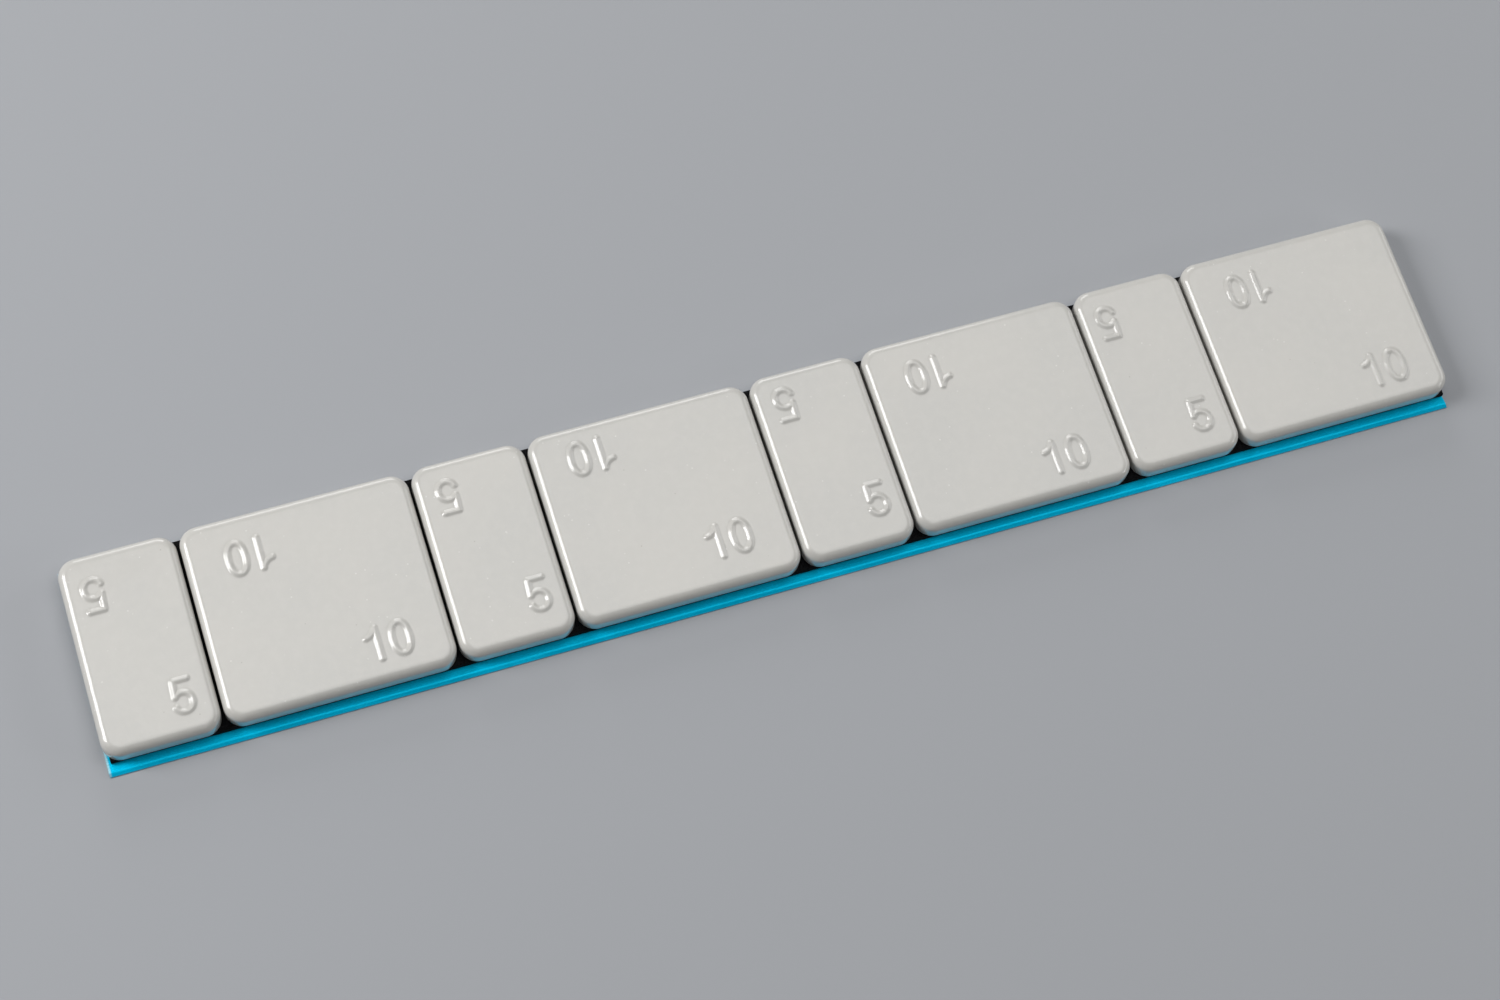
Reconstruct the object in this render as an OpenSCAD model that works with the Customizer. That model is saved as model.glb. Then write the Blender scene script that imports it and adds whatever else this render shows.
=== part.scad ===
// Self-adhesive wheel balance weight: one strip of coated steel blocks, small and large
// in turn, on a foam tape whose adhesive face is covered by a release film.
// Millimetres. X runs along the strip, Y across it towards the far edge, Z up.
// The origin is on the underside of the film, at the middle of the strip's length and width.

/* [Weights] */
// Mass of a small weight, in grams
small_mass = 5; // [4:0.5:7]
// Mass of a large weight, in grams
large_mass = 10; // [8:0.5:15]
// Density of the coated steel, in grams per cubic centimetre
steel_density = 7.85; // [7.2:0.05:8]
// Width of a weight, across the strip
weight_w = 22; // [18:0.5:26]
// Thickness of a weight
weight_h = 2.4; // [2:0.1:4]
// Radius of a weight's corners, seen from above
corner_r = 2; // [1.4:0.1:3.5]
// Radius of the rounded edge round a weight's top face
top_edge_r = 1; // [0.4:0.1:1.3]
// Radius of the slightly broken edge round a weight's underside
bottom_edge_r = 0.15; // [0.05:0.05:0.4]

/* [Strip] */
// Number of pairs, each a small weight followed by a large one
pairs = 4; // [1:1:6]
// Gap at which the strip is cut between two neighbouring weights
weight_gap = 0.3; // [0.2:0.05:1.5]

/* [Foam tape] */
// Thickness of the foam tape
tape_h = 0.8; // [0.5:0.1:1.6]
// How far the tape's near edge lies inside the weights' near side
tape_near_inset = 0.2; // [0:0.05:1]
// How far the tape's far edge lies inside the weights' far side
tape_far_inset = 0.35; // [0:0.05:1]
// How far the tape stops short of the strip's left end, where the first small weight is
tape_left_inset = 0.5; // [0:0.05:1]
// How far the tape stops short of the strip's right end
tape_right_inset = 0.35; // [0:0.05:1]

/* [Release film] */
// Thickness of the film
film_t = 0.12; // [0.08:0.01:0.25]
// How far the film stands out past the weights on the near side, where it is pulled off
pull_edge_w = 1.2; // [0.8:0.05:6]
// How far the film's far edge lies inside the weights' far side
film_far_inset = 0.25; // [0:0.05:1]
// How far the film stops short of the strip's left end
film_left_inset = 0.05; // [0:0.05:1]
// How far the film stops short of the strip's right end
film_right_inset = 0.25; // [0:0.05:1]
// Distance from the outer edge of the pull edge to the crease along it
crease_inset = 0.45; // [0.3:0.05:0.6]
// Height of the crease above the surface that the film lies on
crease_rise = 0.22; // [0.1:0.02:0.3]
// Bend radius on the underside of the crease
crease_r = 0.3; // [0.1:0.05:0.4]
// Distance from the tape's edge to the line where the film starts to rise
rise_clearance = 0.08; // [0.05:0.01:0.2]

/* [Hidden] */
SMALL_NAMES = [for (i = [1 : pairs]) str("small_weight_", i)];
LARGE_NAMES = [for (i = [1 : pairs]) str("large_weight_", i)];

// Circles are drawn with this many sides
$fn = 64;
// Number of flat steps round the crease's bend
bend_steps = 8;
// Overlap that keeps a cut clear of the face it starts from
cut_margin = 1;
// Cubic millimetres in a cubic centimetre
mm3_per_cm3 = 1000;

coat_grey = [0.79, 0.78, 0.75];
foam_black = [0.03, 0.03, 0.035];
film_blue = [0.02, 0.58, 0.74];

// Area that a rounding of radius r takes from the section of a square edge
function rounding_area(r) = (1 - PI / 4) * r * r;
// Distance from either face of the edge to the centroid of that area
function rounding_centroid(r) = r * (10 - 3 * PI) / (3 * (4 - PI));
// Volume that the rounding takes off per millimetre of length, along both long sides
function rounding_per_length(r) = 2 * rounding_area(r);
// Volume that it takes off the rest of the outline: the short sides and the four corners
function rounding_at_ends(r) =
    rounding_area(r) * (2 * weight_w - 8 * corner_r + 2 * PI * (corner_r - rounding_centroid(r)));

// Length of a weight that has the given mass once its corners and edges are rounded
function weight_length(grams) =
    (grams / steel_density * mm3_per_cm3
        + weight_h * (4 - PI) * corner_r * corner_r
        + rounding_at_ends(top_edge_r)
        + rounding_at_ends(bottom_edge_r))
    / (weight_h * weight_w
        - rounding_per_length(top_edge_r)
        - rounding_per_length(bottom_edge_r));

small_l = weight_length(small_mass);
large_l = weight_length(large_mass);
pair_pitch = small_l + large_l + 2 * weight_gap;
row_l = pairs * pair_pitch - weight_gap;

// Middle of the weights' width, which lies off the origin because of the film's pull edge
row_y = pull_edge_w / 2;
near_y = row_y - weight_w / 2;
left_x = -row_l / 2;
right_x = row_l / 2;

tape_left_x = left_x + tape_left_inset;
tape_right_x = right_x - tape_right_inset;
film_left_x = left_x + film_left_inset;
film_right_x = right_x - film_right_inset;
tape_near_y = near_y + tape_near_inset;
tape_w = weight_w - tape_near_inset - tape_far_inset;
weight_z = film_t + tape_h;

// The pull edge in section. Distances run outwards from the tape's near edge.
lip_w = pull_edge_w + tape_near_inset;
crease_at = lip_w - crease_inset;
rise_angle = atan(crease_rise / (crease_at - rise_clearance));
fall_angle = atan(crease_rise / crease_inset);
// Where the bend begins and ends: the directions square to the rising and the falling stretch
bend_start = 90 + rise_angle;
bend_end = 90 - fall_angle;
// Direction halfway round the bend
bend_middle = (bend_start + bend_end) / 2;
// Centre of the bend, at crease_r from the undersides of both stretches
bend_centre = [crease_at, crease_rise]
    - crease_r / cos((rise_angle + fall_angle) / 2) * [cos(bend_middle), sin(bend_middle)];
// Where the film's upper face turns from flat to rising
rise_top = [rise_clearance - film_t * tan(rise_angle / 2), film_t];

// Section of a weight from an inner line at x = 0 out to its rounded edge at x = reach
module edge_section(reach) {
    difference() {
        square([reach, weight_h]);
        translate([reach - top_edge_r, weight_h - top_edge_r])
            difference() {
                square(top_edge_r + cut_margin);
                circle(top_edge_r);
            }
        translate([reach - bottom_edge_r, bottom_edge_r])
            difference() {
                translate([0, -bottom_edge_r - cut_margin])
                    square(bottom_edge_r + cut_margin);
                circle(bottom_edge_r);
            }
    }
}

// One steel block standing on z = 0: a core, with a side and a turned corner at each quarter
module weight_block(length) {
    core_l = length - 2 * corner_r;
    core_w = weight_w - 2 * corner_r;
    translate([-core_l / 2, -core_w / 2, 0])
        cube([core_l, core_w, weight_h]);
    for (quarter = [0 : 3]) {
        ahead = quarter % 2 == 0 ? core_l : core_w;
        across = quarter % 2 == 0 ? core_w : core_l;
        rotate(90 * quarter)
            translate([ahead / 2, across / 2, 0]) {
                rotate_extrude(angle = 90)
                    edge_section(corner_r);
                rotate([90, 0, 0])
                    linear_extrude(across)
                        edge_section(corner_r);
            }
    }
}

module small_weight(i) {
    color(coat_grey)
        translate([left_x + (i - 1) * pair_pitch + small_l / 2, row_y, weight_z])
            weight_block(small_l);
}

module large_weight(i) {
    color(coat_grey)
        translate([right_x - (pairs - i) * pair_pitch - large_l / 2, row_y, weight_z])
            weight_block(large_l);
}

// One unbroken length of foam under every weight
module foam_tape() {
    color(foam_black)
        translate([tape_left_x, tape_near_y, film_t])
            cube([tape_right_x - tape_left_x, tape_w, tape_h]);
}

// Points round the crease's bend, on the face at radius r
function bend_points(r, from, to) =
    [for (i = [0 : bend_steps])
        let (angle = from + (to - from) * i / bend_steps)
            bend_centre + r * [cos(angle), sin(angle)]];

// The film in section, drawn with x running outwards across the near edge and y up.
// It is flat under the tape, rises to the crease and falls to its outer edge.
module film_section() {
    flat_w = weight_w - tape_near_inset - film_far_inset;
    polygon(concat(
        [[rise_clearance, 0], [-flat_w, 0], [-flat_w, film_t], rise_top],
        bend_points(crease_r + film_t, bend_start, bend_end),
        [[lip_w, film_t / cos(fall_angle)], [lip_w, 0]],
        bend_points(crease_r, bend_end, bend_start)
    ));
}

module release_film() {
    color(film_blue)
        translate([film_right_x, tape_near_y, 0])
            rotate([90, 0, -90])
                linear_extrude(film_right_x - film_left_x)
                    film_section();
}

for (i = [1 : pairs]) {
    small_weight(i);
    large_weight(i);
}
foam_tape();
release_film();
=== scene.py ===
"""Looks of the adhesive wheel balance weight strip.

Every coated block becomes a fine rounded surface with its raised numerals, the foam tape gets its
soft cut sides, and the release film gets its creased pull edge. Lengths in this script are in
millimetres in the CAD model's frame, until a mesh is made from them in metres.
"""

import math

import bpy
import numpy as np
from mathutils import Matrix, Vector


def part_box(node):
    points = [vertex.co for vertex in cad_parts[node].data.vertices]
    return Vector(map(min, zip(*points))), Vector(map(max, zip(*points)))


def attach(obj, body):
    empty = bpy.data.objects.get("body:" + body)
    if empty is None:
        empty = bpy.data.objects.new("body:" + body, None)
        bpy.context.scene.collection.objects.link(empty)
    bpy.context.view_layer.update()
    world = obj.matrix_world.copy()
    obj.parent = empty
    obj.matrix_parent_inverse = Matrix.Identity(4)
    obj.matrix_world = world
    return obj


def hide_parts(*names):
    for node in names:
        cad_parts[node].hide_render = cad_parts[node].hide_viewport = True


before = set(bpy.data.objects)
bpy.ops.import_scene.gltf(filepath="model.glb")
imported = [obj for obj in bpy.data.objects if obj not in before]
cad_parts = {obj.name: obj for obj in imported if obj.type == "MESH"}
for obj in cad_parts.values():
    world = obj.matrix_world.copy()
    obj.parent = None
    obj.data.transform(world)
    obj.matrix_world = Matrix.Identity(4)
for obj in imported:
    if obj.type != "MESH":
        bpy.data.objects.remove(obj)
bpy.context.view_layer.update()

MM = 0.001

# Blocks: the roundings of the CAD solids, and how finely each stretch is divided
CORNER_R = 2.0
TOP_EDGE_R = 1.0
BOTTOM_EDGE_R = 0.15
TOP_EDGE_POINTS = 13
BOTTOM_EDGE_POINTS = 5
FLAT_STEP = 0.1
FINE_STEP = 0.07
COARSE_STEP = 0.45
STEP_GROWTH = 0.5
SPACING_SAMPLES = 2000
WAVE_DEPTH = 0.006
WAVELENGTHS = (9, 7, 5.5, 4)

# Numerals: plain figures that give the grams
NUMERAL_H = 3.95
STROKE_W = 0.48
STROKE_SOFTNESS = 0.5
RELIEF = 0.22
FIGURE_SPACE = 1.04
FINE_BORDER = 0.5
# Space between a number and its block's right end, and its block's near side
SMALL_MARGIN_X = 2.05
LARGE_MARGIN_X = 4.2
MARGIN_Y = 2.52
# How far each block's stamp lies off its place, along and across the strip
SMALL_OFFSETS = [(-0.03, -0.29), (0.13, 0.2), (0.03, 0.5), (-0.4, 0.05)]
LARGE_OFFSETS = [(0.08, -0.41), (-0.3, 0.53), (-0.08, -0.32), (0.05, -0.31)]

# Foam tape
FOAM_EDGE_R = 0.1
FOAM_EDGE_POINTS = 5
FOAM_SIDE_POINTS = 7
FOAM_STEP = 0.35
FOAM_BULGE = 0.06
FOAM_RAGGEDNESS = 0.025
# The ragged waves are this many times as close over the tape's height as along it
RAGGED_SQUEEZE = 3

# Release film: the pull edge's section as in the CAD solid, then how its crease strays
FILM_T = 0.12
CREASE_INSET = 0.45
CREASE_RISE = 0.22
CREASE_R = 0.3
RISE_CLEARANCE = 0.08
BEND_POINTS = 9
FILM_STATIONS = 260
CREASE_WANDER = 0.05
CREASE_LIFT = 0.035
# The crease is as high as the solid's where the wave that lifts it has this value
LIFT_MIDDLE = 0.4

# Colours, as linear red, green and blue
COAT = (0.575, 0.56, 0.524)
COAT_CLOUD = (0.55, 0.54, 0.51)
COAT_MOTTLE = (0.61, 0.595, 0.56)
COAT_SPECK = (0.8, 0.79, 0.76)
COAT_PIT = (0.3, 0.28, 0.25)
# Painted highlight: pale colour along the blocks' bottom rim, standing in for light that the rim
# catches
COAT_RIM_HIGHLIGHT = (0.95, 0.94, 0.92)
FOAM_CELL = (0.002, 0.002, 0.002)
FOAM_WALL = (0.007, 0.007, 0.008)
FOAM_DUST = (0.005, 0.005, 0.006)
FILM_BLUE = (0.0, 0.58, 0.94)
FILM_STREAK = (0.001, 0.66, 1.0)
# Painted highlight along the film's left cut end
FILM_END_HIGHLIGHT = (0.55, 0.85, 0.9)
FILM_EDGE = (0.1, 0.35, 0.45)
# Painted shade: deeper blue on the outer strip past the crease, which faces away from the light
FILM_PAST_CREASE_SHADE = (0.0, 0.2, 0.36)
FILM_SHEEN = (0.03, 0.75, 1.0)
FLOOR_GREY = (0.37, 0.38, 0.4)
ROOM_LIGHT = (0.9, 0.95, 1.0)
ROOM_STRENGTH = 0.06

# Bands over which a colour fades out, measured from the edge that it lies on
# Painted highlight band above the blocks' bottom edge
RIM_HIGHLIGHT_BAND = (0.08, 0.2)
# Painted highlight band along the film's left cut end
END_HIGHLIGHT_BAND = (0.1, 0.3)
FILM_EDGE_BAND = (0.03, 0.09)
# Painted shade band between the crease and the outer edge
PAST_CREASE_SHADE_BAND = (0.38, 0.5)

# Camera, fitted to the photograph, and lamps
CAMERA_AT = (-63.169, -104.38, 302.052)
CAMERA_LOOK = (0.18515, 0.31915, -0.92944)
CAMERA_RIGHT = (0.94855, -0.30524, 0.08414)
LENS = 72.54
SENSOR_W = 36.0
CLIP_START = 10
LAMP_DISTANCE = 620.0

# Floor: half its side, and how far it lies below the film
FLOOR_HALF = 1500.0
FLOOR_DROP = 0.01


# Meshes


def closed_mesh(name, points, quads, caps=(), sharp_degrees=40):
    """A piece from points in millimetres, an array of four-sided faces and some flat many-sided
    ones. Edges that bend by more than sharp_degrees are kept sharp, the rest are smooth."""
    mesh = bpy.data.meshes.new(name)
    faces = quads.tolist() + [list(map(int, cap)) for cap in caps]
    mesh.from_pydata((np.asarray(points) * MM).tolist(), [], faces)
    mesh.polygons.foreach_set("use_smooth", np.ones(len(faces), bool))
    mesh.set_sharp_from_angle(angle=math.radians(sharp_degrees))
    mesh.update()
    piece = bpy.data.objects.new(name, mesh)
    bpy.context.scene.collection.objects.link(piece)
    return piece


def grid_quads(rows, columns, around=False):
    """Faces between neighbouring points of a grid that is stored row by row. With around, the
    last column is joined to the first."""
    index = np.arange(rows * columns).reshape(rows, columns)
    if around:
        index = np.concatenate([index, index[:, :1]], axis=1)
    corners = [index[:-1, :-1], index[:-1, 1:], index[1:, 1:], index[1:, :-1]]
    return np.stack([corner.ravel() for corner in corners], axis=1)


def swept(name, section, stations, sharp_degrees):
    """A closed section carried along the strip. section(x) takes the stations as a column and
    gives y and z for every station and every point of the outline, which runs so that the faces
    point outwards. Both ends are closed by a flat face."""
    x = np.asarray(stations)[:, None]
    y, z = section(x)
    x = np.broadcast_to(x, y.shape)
    points = np.stack([x, y, z], axis=-1)
    rows, columns = y.shape
    first = np.arange(columns)
    last = first + (rows - 1) * columns
    return closed_mesh(
        name,
        points.reshape(-1, 3),
        grid_quads(rows, columns, around=True),
        caps=[first[::-1], last],
        sharp_degrees=sharp_degrees,
    )


def waves(x, y, seed, wavelengths):
    """A smooth random field between about -1 and 1: one sine across the plane for each
    wavelength, with the direction and phase drawn from the seed, added up and averaged."""
    random = np.random.default_rng(seed)
    total = 0
    for wavelength in wavelengths:
        heading, phase = random.uniform(0, 2 * math.pi, 2)
        along = x * math.cos(heading) + y * math.sin(heading)
        total = total + np.sin(2 * math.pi * along / wavelength + phase)
    return total / len(wavelengths)


# Numerals


def bow(centre, half_w, half_h, start, end, points, power=2.0):
    """Points round part of a rounded oval, from start to end in degrees. Each half width is
    multiplied by the cosine and sine, raised to 2/power with their signs kept."""
    angle = np.radians(np.linspace(start, end, points))
    c, s = np.cos(angle), np.sin(angle)
    return np.stack(
        [
            centre[0] + half_w * np.sign(c) * np.abs(c) ** (2 / power),
            centre[1] + half_h * np.sign(s) * np.abs(s) ** (2 / power),
        ],
        axis=1,
    )


def figure_one():
    """Centre lines of a 1, as wide as its flag, standing on y = 0. The flag is part of an oval
    whose right side is on the stem and whose middle is a little above the stem's top."""
    half, top = STROKE_W / 2, NUMERAL_H - STROKE_W / 2
    stem_x = 1.3
    flag_w, flag_h, flag_rise = 1.35, 1.2, 0.25
    flag = bow((stem_x - flag_w, top + flag_rise), flag_w, flag_h, 0, -80, points=14)
    flag = flag[flag[:, 1] <= top]
    return [np.array([(stem_x, half), (stem_x, top)]), flag], stem_x + half


def figure_nought():
    """Centre line of a 0: a whole oval."""
    half_w, half_h = 0.9, (NUMERAL_H - STROKE_W) / 2
    centre = (half_w + STROKE_W / 2, NUMERAL_H / 2)
    return [bow(centre, half_w, half_h, 0, 360, points=72, power=2.25)], 2 * half_w + STROKE_W


def figure_five():
    """Centre lines of a 5: the bar and the short upright as one bent line, then the bowl."""
    half, top = STROKE_W / 2, NUMERAL_H - STROKE_W / 2
    bowl_w, bowl_h, bowl_shift = 0.95, 1.04, 0.02
    bar_left, bar_right = 0.5, 2.0
    centre = (half + bowl_w - bowl_shift, half + bowl_h)
    bowl = bow(centre, bowl_w, bowl_h, 142, -158, points=44, power=2.1)
    bar = np.array([(bar_right, top), (bar_left, top), tuple(bowl[0])])
    return [bar, bowl], 2 * bowl_w + STROKE_W


def numeral(grams):
    """Centre lines of the figures of a number side by side, and the number's width."""
    figures = {"0": figure_nought, "1": figure_one, "5": figure_five}
    lines, width = [], 0.0
    for figure in str(grams):
        strokes, figure_w = figures[figure]()
        lines += [stroke + (width, 0) for stroke in strokes]
        width += figure_w + FIGURE_SPACE
    return lines, width - FIGURE_SPACE


def distance_to(x, y, line):
    """Distance from every point to a bent line: the least over its straight parts of the
    distance to the nearest place on that part."""
    start, step = line[:-1], np.diff(line, axis=0)
    dx = x[..., None] - start[:, 0]
    dy = y[..., None] - start[:, 1]
    share = (dx * step[:, 0] + dy * step[:, 1]) / (step**2).sum(axis=1)
    share = share.clip(0, 1)
    return np.hypot(dx - share * step[:, 0], dy - share * step[:, 1]).min(axis=-1)


def raised(x, y, lines, left, bottom):
    """Height of the numeral above the face. It is full near the centre lines and falls to
    nothing over the stroke's soft flank, along the smooth step 3s^2 - 2s^3."""
    away = np.full(x.shape, np.inf)
    for line in lines:
        away = np.minimum(away, distance_to(x - left, y - bottom, line))
    share = ((STROKE_W / 2 + STROKE_SOFTNESS / 2 - away) / STROKE_SOFTNESS).clip(0, 1)
    return RELIEF * share * share * (3 - 2 * share)


# Blocks


def rim(height):
    """Reach from the corner's centre and depth below the top face, ring by ring: out over the
    flat face, round the top edge, down the wall and in under the broken bottom edge."""
    flat = np.arange(0, CORNER_R - TOP_EDGE_R, FLAT_STEP)
    top = np.radians(np.linspace(0, 90, TOP_EDGE_POINTS))
    under = np.radians(np.linspace(0, 90, BOTTOM_EDGE_POINTS))
    reach = [
        flat,
        CORNER_R - TOP_EDGE_R * (1 - np.sin(top)),
        CORNER_R - BOTTOM_EDGE_R * (1 - np.cos(under)),
    ]
    depth = [
        np.zeros_like(flat),
        TOP_EDGE_R * (1 - np.cos(top)),
        height - BOTTOM_EDGE_R * (1 - np.sin(under)),
    ]
    return np.concatenate(reach), np.concatenate(depth)


def stamped(start, length, shift):
    """The two stretches of an axis that a numeral and its turned twin take up, with a border."""
    near = (start + shift - FINE_BORDER, start + length + shift + FINE_BORDER)
    far = (-start - length + shift - FINE_BORDER, -start + shift + FINE_BORDER)
    return [near, far]


def spread(low, high, fine):
    """Places from low to high, close together within the fine stretches and wide apart
    elsewhere. They lie at equal steps of the running sum of 1 over the wanted spacing."""
    x = np.linspace(low, high, SPACING_SAMPLES)
    spacing = np.full_like(x, COARSE_STEP)
    for start, end in fine:
        outside = np.maximum(start - x, x - end).clip(0, None)
        spacing = np.minimum(spacing, FINE_STEP + STEP_GROWTH * outside)
    running = np.concatenate([[0], np.cumsum(np.diff(x) / spacing[1:])])
    count = int(math.ceil(running[-1])) + 1
    return np.interp(np.linspace(0, running[-1], count), running, x)


def with_rings(core, edge, rings):
    """One direction of a block's grid: the places of the core with the edge's place repeated
    for every ring at both ends, how many rings out each one is, and to which side."""
    outwards = np.arange(1, rings + 1)
    place = np.concatenate([np.full(rings, -edge), core, np.full(rings, edge)])
    ring = np.concatenate([outwards[::-1], np.zeros(len(core), int), outwards])
    side = np.concatenate([-np.ones(rings), np.zeros(len(core)), np.ones(rings)])
    return place, ring, side


def coated_block(name, node, grams, margin_x, offset, seed):
    """One block as a single grid laid over its top and down its sides.

    In the middle the grid runs along and across the block. Within a corner's radius of the
    outline a point's ring is the larger of its two counts outwards. At a corner, the smaller
    count over the larger gives the angle round the arc, so each ring turns the corner evenly.
    Height follows the rim, with the numerals and a faint waviness added. The last ring is
    closed by a flat face."""
    low, high = (np.array(corner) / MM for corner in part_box(node))
    centre, size = (low + high) / 2, high - low
    half = size[:2] / 2 - CORNER_R
    lines, width = numeral(grams)
    left = size[0] / 2 - margin_x - width
    bottom = -size[1] / 2 + MARGIN_Y
    reach, depth = rim(size[2])
    rings = len(reach) - 1

    core_x = spread(-half[0], half[0], stamped(left, width, offset[0]))
    core_y = spread(-half[1], half[1], stamped(bottom, NUMERAL_H, offset[1]))
    place_x, ring_x, side_x = with_rings(core_x, half[0], rings)
    place_y, ring_y, side_y = with_rings(core_y, half[1], rings)
    ring_x, ring_y = ring_x[None, :], ring_y[:, None]
    ring = np.maximum(ring_x, ring_y)
    eighth = math.pi / 4
    angle = np.where(
        ring_x >= ring_y,
        eighth * ring_y / np.maximum(ring_x, 1),
        2 * eighth - eighth * ring_x / np.maximum(ring_y, 1),
    )
    x = place_x[None, :] + side_x[None, :] * reach[ring] * np.cos(angle)
    y = place_y[:, None] + side_y[:, None] * reach[ring] * np.sin(angle)

    stamp = raised(x - offset[0], y - offset[1], lines, left, bottom)
    stamp += raised(offset[0] - x, offset[1] - y, lines, left, bottom)
    waviness = WAVE_DEPTH * (waves(x, y, seed, WAVELENGTHS) - 1)
    on_face = depth[ring] == 0
    above_wall = depth[ring] < TOP_EDGE_R
    z = high[2] - depth[ring] + np.where(on_face, stamp, 0) + waviness * above_wall
    points = np.stack([x + centre[0], y + centre[1], z], axis=-1)

    rows, columns = z.shape
    index = np.arange(rows * columns).reshape(rows, columns)
    outline = np.concatenate(
        [index[0, :-1], index[:-1, -1], index[-1, :0:-1], index[:0:-1, 0]]
    )
    return closed_mesh(
        name, points.reshape(-1, 3), grid_quads(rows, columns), caps=[outline[::-1]]
    )


# Tape and film


def foam_section(low, high):
    """Section of the tape: a rectangle with small round edges, whose long sides swell by a
    cosine over their height and waver a little along the strip."""
    turn = np.radians(np.linspace(0, 90, FOAM_EDGE_POINTS))
    half_h = (high[2] - low[2]) / 2
    side_end = half_h - FOAM_EDGE_R
    side_z = np.linspace(-side_end, side_end, FOAM_SIDE_POINTS)[1:-1]
    corner_y = FOAM_EDGE_R * (np.cos(turn) - 1)
    corner_z = half_h - FOAM_EDGE_R + FOAM_EDGE_R * np.sin(turn)
    side_y = np.concatenate([corner_y[::-1], np.zeros(len(side_z)), corner_y])
    up = np.concatenate([-corner_z[::-1], side_z, corner_z])
    swell = np.cos(math.pi / 2 * up / half_h)
    middle = (low + high) / 2

    def bulged(x, seed, wavelengths):
        ragged = waves(x, up * RAGGED_SQUEEZE, seed, wavelengths)
        return side_y + swell * (FOAM_BULGE + FOAM_RAGGEDNESS * ragged)

    def section(x):
        far = high[1] + bulged(x, seed=12, wavelengths=(2.1, 1.2, 0.9, 0.5))
        near = low[1] - bulged(x, seed=11, wavelengths=(1.9, 1.3, 0.8, 0.6))
        y = np.concatenate([far, near[:, ::-1]], axis=1)
        z = middle[2] + np.concatenate([up, up[::-1]])
        return y, np.broadcast_to(z, y.shape)

    return section


def foam_tape():
    """The tape, one length under all the blocks."""
    low, high = (np.array(corner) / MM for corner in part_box("foam_tape"))
    stations = np.append(np.arange(low[0], high[0], FOAM_STEP), high[0])
    return swept("tape", foam_section(low, high), stations, sharp_degrees=60)


def film_outline(flat_w, crease_at, lip):
    """Section of the film: out along the upper face, round the crease, down to the outer edge
    and back along the underside. Distances outwards start at the tape's near edge. The bend's
    centre lies a bend radius square below the undersides of both stretches that it joins."""
    rise = math.atan(CREASE_RISE / (crease_at - RISE_CLEARANCE))
    fall = math.atan(CREASE_RISE / CREASE_INSET)
    halfway = math.pi / 2 + (rise - fall) / 2
    back = CREASE_R / math.cos((rise + fall) / 2)
    centre = np.array([crease_at, CREASE_RISE]) - back * np.array(
        [math.cos(halfway), math.sin(halfway)]
    )
    turn = np.linspace(math.pi / 2 + rise, math.pi / 2 - fall, BEND_POINTS)
    arc = np.stack([np.cos(turn), np.sin(turn)], axis=1)
    knee = RISE_CLEARANCE - FILM_T * math.tan(rise / 2)
    return np.concatenate(
        [
            [(-flat_w, 0), (-flat_w, FILM_T), (knee, FILM_T)],
            centre + (CREASE_R + FILM_T) * arc,
            [(lip, FILM_T / math.cos(fall)), (lip, 0)],
            centre + CREASE_R * arc[::-1],
            [(RISE_CLEARANCE, 0)],
        ]
    )


def release_film():
    """The film. The crease wanders and lifts a little along the strip, most at the crease
    itself and fading to nothing at the tape and at the outer edge."""
    low, high = (np.array(corner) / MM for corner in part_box("release_film"))
    tape_edge = np.array(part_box("foam_tape")[0])[1] / MM
    lip = tape_edge - low[1]
    crease_at = lip - CREASE_INSET
    out, up = film_outline(high[1] - tape_edge, crease_at, lip).T
    near_crease = np.interp(out, [0, crease_at, lip], [0, 1, 0])

    def section(x):
        wander = waves(x, 0 * x, seed=21, wavelengths=(47, 23, 13, 7.1))
        lift = waves(x, 0 * x, seed=22, wavelengths=(61, 31, 17, 9.3))
        y = tape_edge - out - CREASE_WANDER * wander * near_crease
        z = up + CREASE_LIFT * (lift - LIFT_MIDDLE) * near_crease
        return y, z

    stations = np.linspace(low[0], high[0], FILM_STATIONS)
    return swept("film", section, stations, sharp_degrees=50)


# Shader maths


class Value:
    """A socket of a finish, with Python's own signs for sums on it."""

    def __init__(self, finish, socket):
        self.finish = finish
        self.socket = socket

    def __add__(self, other):
        return self.finish.math("ADD", self, other)

    __radd__ = __add__

    def __sub__(self, other):
        return self.finish.math("SUBTRACT", self, other)

    def __rsub__(self, other):
        return self.finish.math("SUBTRACT", other, self)

    def __mul__(self, other):
        return self.finish.math("MULTIPLY", self, other)

    __rmul__ = __mul__

    def step(self, start, end):
        """0 up to start, 1 from end on, and smooth between them."""
        return self.finish.node(
            "ShaderNodeMapRange",
            {"interpolation_type": "SMOOTHSTEP"},
            {"Value": self, "From Min": start, "From Max": end},
        )


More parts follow.
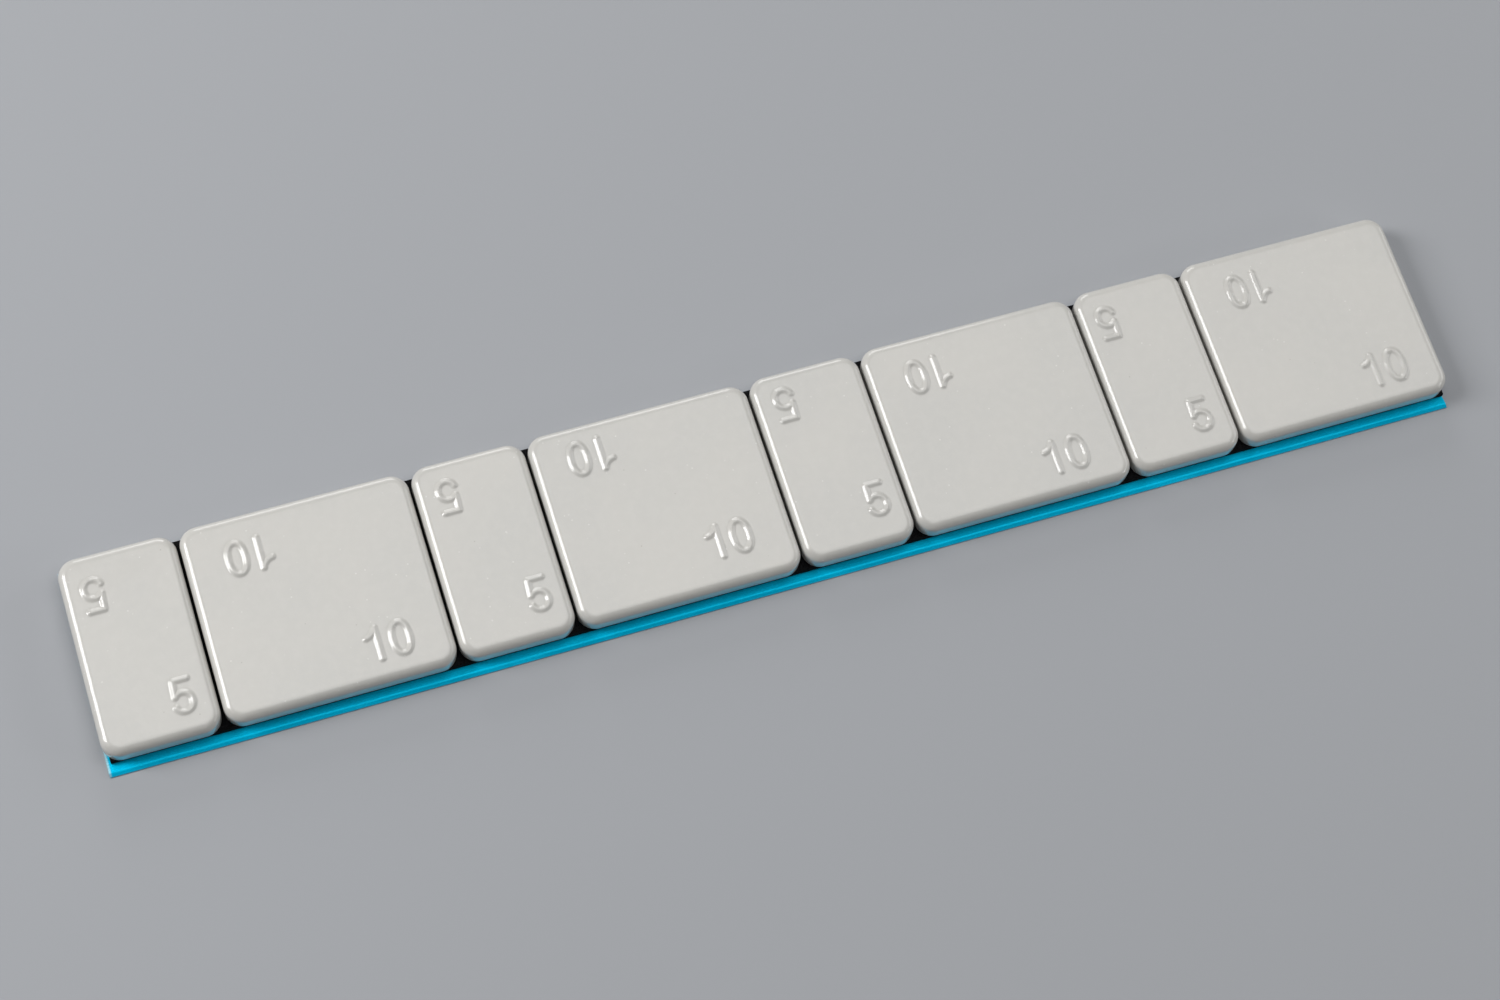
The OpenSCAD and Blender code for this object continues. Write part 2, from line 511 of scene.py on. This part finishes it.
class Finish:
    """A material under construction."""

    def __init__(self, name):
        self.material = bpy.data.materials.new(name)
        self.material.use_nodes = True
        self.tree = self.material.node_tree
        self.tree.nodes.clear()
        place = self.node("ShaderNodeTexCoord", output="Object")
        # In millimetres, so that every scale below counts features to the millimetre
        self.place = self.node(
            "ShaderNodeVectorMath", {"operation": "SCALE"}, {0: place, "Scale": 1 / MM}
        )

    def node(self, kind, settings=None, values=None, output=0):
        """Adds a node: its settings first, then the values or links of its inputs."""
        made = self.tree.nodes.new(kind)
        for name, setting in (settings or {}).items():
            setattr(made, name, setting)
        for name, value in (values or {}).items():
            if isinstance(value, Value):
                self.tree.links.new(value.socket, made.inputs[name])
            else:
                made.inputs[name].default_value = value
        return Value(self, made.outputs[output]) if made.outputs else None

    def math(self, operation, *values):
        """A sum on values, which are sockets or numbers."""
        return self.node("ShaderNodeMath", {"operation": operation}, dict(enumerate(values)))

    def mix(self, share, first, second):
        """Colour that goes from first to second as share goes from 0 to 1."""
        first, second = (
            colour if isinstance(colour, Value) else (*colour, 1) for colour in (first, second)
        )
        values = {0: share, 6: first, 7: second}
        return self.node("ShaderNodeMix", {"data_type": "RGBA"}, values, output=2)

    def axis(self, name):
        """One of the place's three coordinates, in millimetres."""
        return self.node("ShaderNodeSeparateXYZ", values={0: self.place}, output=name)

    def noise(self, scale, detail=2.0, roughness=0.5, stretch=None):
        """Noise from 0 to 1 with scale features to the millimetre."""
        where = self.place
        if stretch:
            where = self.node("ShaderNodeMapping", values={"Vector": where, "Scale": stretch})
        values = {"Vector": where, "Scale": scale, "Detail": detail, "Roughness": roughness}
        return self.node("ShaderNodeTexNoise", values=values)

    def cells(self, scale):
        """Distance to the nearest of scale scattered cell centres to the millimetre."""
        values = {"Vector": self.place, "Scale": scale}
        return self.node("ShaderNodeTexVoronoi", values=values, output="Distance")

    def bump(self, height, depth, under=None):
        """Bumps of the given depth in millimetres, on top of the bumps under them."""
        values = {"Height": height, "Distance": depth * MM, "Strength": 1.0}
        if under:
            values["Normal"] = under
        return self.node("ShaderNodeBump", values=values)

    def surface(self, **values):
        """The shader and the output. Underscores in names stand for spaces."""
        named = {name.replace("_", " "): value for name, value in values.items()}
        shader = self.node("ShaderNodeBsdfPrincipled", values=named)
        self.node("ShaderNodeOutputMaterial", values={"Surface": shader})
        return self.material


# Finishes


def coated_steel(bottom_z):
    """Satin light grey coat: faint orange peel, fine grain, tiny pale and dark specks, slight
    clouds of colour, and a painted highlight: a paler line along the bottom edge, where the
    rim catches light."""
    coat = Finish("coated_steel")
    clouds = coat.noise(scale=0.09, detail=3)
    mottle = coat.noise(scale=0.9, detail=4, roughness=0.6)
    grain = coat.noise(scale=9, detail=2)
    peel = coat.noise(scale=1.6, detail=2, roughness=0.45)
    speck = 1 - coat.cells(scale=1.1).step(0.06, 0.14)
    speck = speck * coat.noise(scale=0.35).step(0.5, 0.62)
    pit = 1 - coat.cells(scale=0.32).step(0.012, 0.03)
    # Painted highlight: the coat is paler just above the bottom edge, where the rim catches light
    rim_highlight = 1 - (coat.axis("Z") - bottom_z).step(*RIM_HIGHLIGHT_BAND)
    colour = coat.mix(clouds.step(0.3, 0.7), COAT, COAT_CLOUD)
    colour = coat.mix(mottle.step(0.35, 0.75) * 0.35, colour, COAT_MOTTLE)
    colour = coat.mix(speck * 0.5, colour, COAT_SPECK)
    colour = coat.mix(pit * 0.5, colour, COAT_PIT)
    colour = coat.mix(rim_highlight * 0.5, colour, COAT_RIM_HIGHLIGHT)
    relief = coat.bump(peel, depth=0.022)
    relief = coat.bump(mottle, depth=0.007, under=relief)
    relief = coat.bump(grain, depth=0.0015, under=relief)
    relief = coat.bump(speck - pit, depth=0.01, under=relief)
    return coat.surface(
        Base_Color=colour,
        Roughness=0.36 + 0.1 * mottle + 0.06 * grain,
        Normal=relief,
        Specular_IOR_Level=0.45,
        Coat_Weight=0.9,
        Coat_Roughness=0.1,
    )


def black_foam():
    """Matt black closed-cell foam: open cut cells on every face, dusty on the cell walls."""
    foam = Finish("black_foam")
    cells = foam.cells(scale=5.5)
    fine = foam.cells(scale=14)
    clouds = foam.noise(scale=0.4, detail=3)
    colour = foam.mix(cells.step(0.3, 0.62), FOAM_CELL, FOAM_WALL)
    colour = foam.mix(clouds.step(0.4, 0.8) * 0.4, colour, FOAM_DUST)
    relief = foam.bump(cells.step(0.0, 0.6), depth=0.05)
    relief = foam.bump(fine, depth=0.015, under=relief)
    return foam.surface(
        Base_Color=colour,
        Roughness=0.75 + 0.2 * clouds,
        Normal=relief,
        Specular_IOR_Level=0.12,
    )


def blue_film(left_x, edge_y):
    """Glossy cyan-blue film: faint drawn streaks along it, small dents, fine scuffs, a greyer
    line along the outer edge, a painted highlight along the left cut end, and painted shade: a
    deeper blue between the crease and the outer edge."""
    film = Finish("blue_film")
    streaks = film.noise(scale=1.0, detail=4, stretch=(0.04, 6, 6))
    dents = film.noise(scale=0.22, detail=2)
    scuffs = film.noise(scale=3.0, detail=5, roughness=0.7, stretch=(0.3, 1.5, 1.5))
    from_edge = film.axis("Y") - edge_y
    # Painted highlight: paler colour along the film's left cut end, where its edge catches light
    end_highlight = 1 - (film.axis("X") - left_x).step(*END_HIGHLIGHT_BAND)
    edge = 1 - from_edge.step(*FILM_EDGE_BAND)
    # Painted shade: deeper blue from the crease to the outer edge, where the film bends away from
    # the light
    past_crease_shade = 1 - from_edge.step(*PAST_CREASE_SHADE_BAND)
    colour = film.mix(streaks, FILM_BLUE, FILM_STREAK)
    colour = film.mix(end_highlight * 0.8, colour, FILM_END_HIGHLIGHT)
    colour = film.mix(edge * 0.4, colour, FILM_EDGE)
    colour = film.mix(past_crease_shade * 0.4, colour, FILM_PAST_CREASE_SHADE)
    relief = film.bump(dents, depth=0.12)
    relief = film.bump(streaks, depth=0.006, under=relief)
    relief = film.bump(scuffs, depth=0.002, under=relief)
    return film.surface(
        Base_Color=colour,
        Roughness=0.24 + 0.12 * scuffs.step(0.5, 0.8) + 0.05 * streaks,
        Normal=relief,
        Metallic=0.12,
        Specular_IOR_Level=0.8,
        Specular_Tint=(*FILM_SHEEN, 1),
    )


def floor_grey():
    """Plain pale floor."""
    return Finish("floor_grey").surface(Base_Color=(*FLOOR_GREY, 1), Roughness=0.9)


# The strip


def dress(piece, node, finish):
    """The piece stands for its CAD node and wears the finish."""
    piece.data.materials.append(finish)
    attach(piece, "root")
    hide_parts(node)


def strip():
    """Every visible piece of the strip."""
    bottom_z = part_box("small_weight_1")[0][2] / MM
    coat = coated_steel(bottom_z)
    for kind, grams, margin_x, offsets in (
        ("small", 5, SMALL_MARGIN_X, SMALL_OFFSETS),
        ("large", 10, LARGE_MARGIN_X, LARGE_OFFSETS),
    ):
        for i, offset in enumerate(offsets, 1):
            node = f"{kind}_weight_{i}"
            seed = 10 * grams + i
            block = coated_block(f"{kind}_block_{i}", node, grams, margin_x, offset, seed)
            dress(block, node, coat)
    dress(foam_tape(), "foam_tape", black_foam())
    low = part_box("release_film")[0]
    dress(release_film(), "release_film", blue_film(low[0] / MM, low[1] / MM))


# Studio


def floor():
    """A wide flat sheet just under the film."""
    ends = ((-1, -1), (1, -1), (1, 1), (-1, 1))
    points = [(x * FLOOR_HALF, y * FLOOR_HALF, -FLOOR_DROP) for x, y in ends]
    sheet = closed_mesh("floor", points, np.array([[0, 1, 2, 3]]))
    sheet.data.materials.append(floor_grey())


def softbox(name, bearing, height, size, watts):
    """A lamp that faces the middle of the strip, bearing degrees round from +X towards +Y and
    height degrees above the floor. Its size is its level width and its other side."""
    lamp = bpy.data.lights.new(name, "AREA")
    lamp.shape = "RECTANGLE"
    lamp.size, lamp.size_y = (side * MM for side in size)
    lamp.energy = watts
    holder = bpy.data.objects.new(name, lamp)
    turn, tilt = math.radians(bearing), math.radians(height)
    way = Vector(
        (math.cos(turn) * math.cos(tilt), math.sin(turn) * math.cos(tilt), math.sin(tilt))
    )
    holder.location = way * LAMP_DISTANCE * MM
    holder.rotation_euler = way.to_track_quat("Z", "Y").to_euler()
    bpy.context.scene.collection.objects.link(holder)


def studio():
    """A soft light from the left that draws the bright line along each block's left rim, a
    large one overhead that the top faces mirror to the camera, three weaker ones low round
    the strip for the other rims, and a dim room."""
    softbox("left", bearing=159, height=37, size=(240, 320), watts=2.75)
    softbox("overhead", bearing=10, height=80, size=(540, 560), watts=1.6)
    softbox("far", bearing=85, height=20, size=(300, 240), watts=0.9)
    softbox("right", bearing=8, height=20, size=(400, 250), watts=0.7)
    softbox("front_right", bearing=-28, height=20, size=(220, 60), watts=0.4)
    world = bpy.data.worlds.new("room")
    world.use_nodes = True
    air = world.node_tree.nodes["Background"]
    air.inputs["Color"].default_value = (*ROOM_LIGHT, 1)
    air.inputs["Strength"].default_value = ROOM_STRENGTH
    bpy.context.scene.world = world
    bpy.context.scene.view_settings.view_transform = "Standard"


def camera():
    """The photograph's own viewpoint."""
    eye = bpy.data.cameras.new("camera")
    eye.lens = LENS
    eye.sensor_width = SENSOR_W
    eye.clip_start = CLIP_START * MM
    holder = bpy.data.objects.new("camera", eye)
    look = Vector(CAMERA_LOOK).normalized()
    right = Vector(CAMERA_RIGHT)
    right = (right - look * right.dot(look)).normalized()
    up = right.cross(look)
    turned = Matrix((right, up, -look)).transposed().to_4x4()
    holder.matrix_world = Matrix.Translation(Vector(CAMERA_AT) * MM) @ turned
    bpy.context.scene.collection.objects.link(holder)
    bpy.context.scene.camera = holder


strip()
floor()
studio()
camera()
